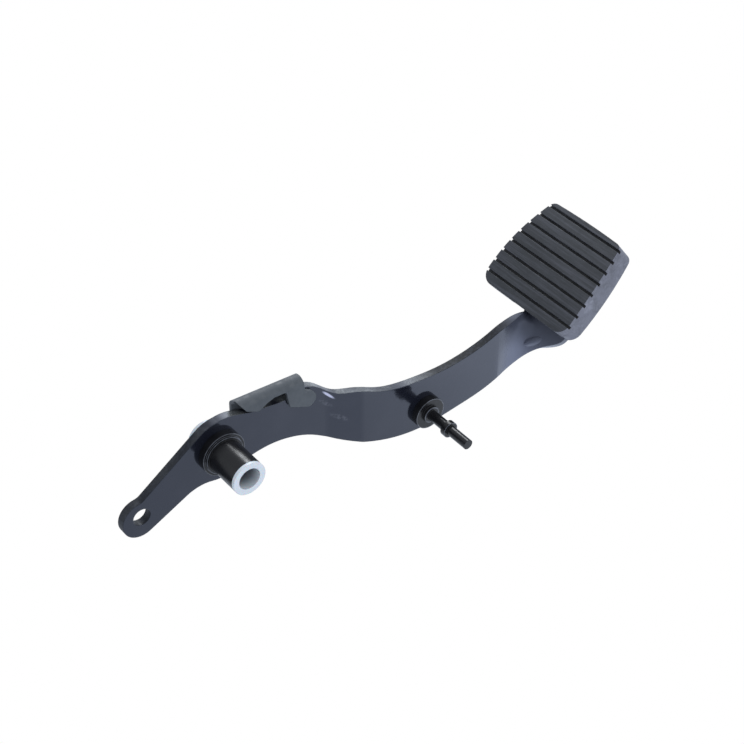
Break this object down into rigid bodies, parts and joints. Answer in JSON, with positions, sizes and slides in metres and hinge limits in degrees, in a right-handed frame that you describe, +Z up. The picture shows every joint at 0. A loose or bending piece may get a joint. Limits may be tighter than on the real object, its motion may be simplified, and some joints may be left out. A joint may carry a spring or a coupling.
{
  "type": "clutch pedal",
  "caption": "Clutch pedal: flat stamped arm with a cable eye, flanged pivot tube, folded edge bracket, spring stud and a ribbed rubber pad on a twisted neck.",
  "frame": {"origin": "centre of the pivot bore, in the mid plane of the arm where the tube goes through it", "axes": "+X along the arm to the pad, Y along the pivot axis with -Y the side that the tube and the stud stand out of, +Z up in the picture, towards the driver's foot"},
  "size_m": [0.3307, 0.0807, 0.0876],
  "materials": {
    "arm_paint": "gloss black paint, lightly worn",
    "bracket_paint": "matt grey phosphate coat",
    "white_plastic": "satin white",
    "pad_rubber": "matt moulded, dusty"
  },
  "bodies": {
    "root": {"pedal_arm": "arm_paint", "pivot_tube": "arm_paint", "spring_stud": "arm_paint", "edge_bracket": "bracket_paint", "front_bush": "white_plastic", "rear_bush": "white_plastic", "pad_rubber": "pad_rubber"}
  },
  "joints": []
}
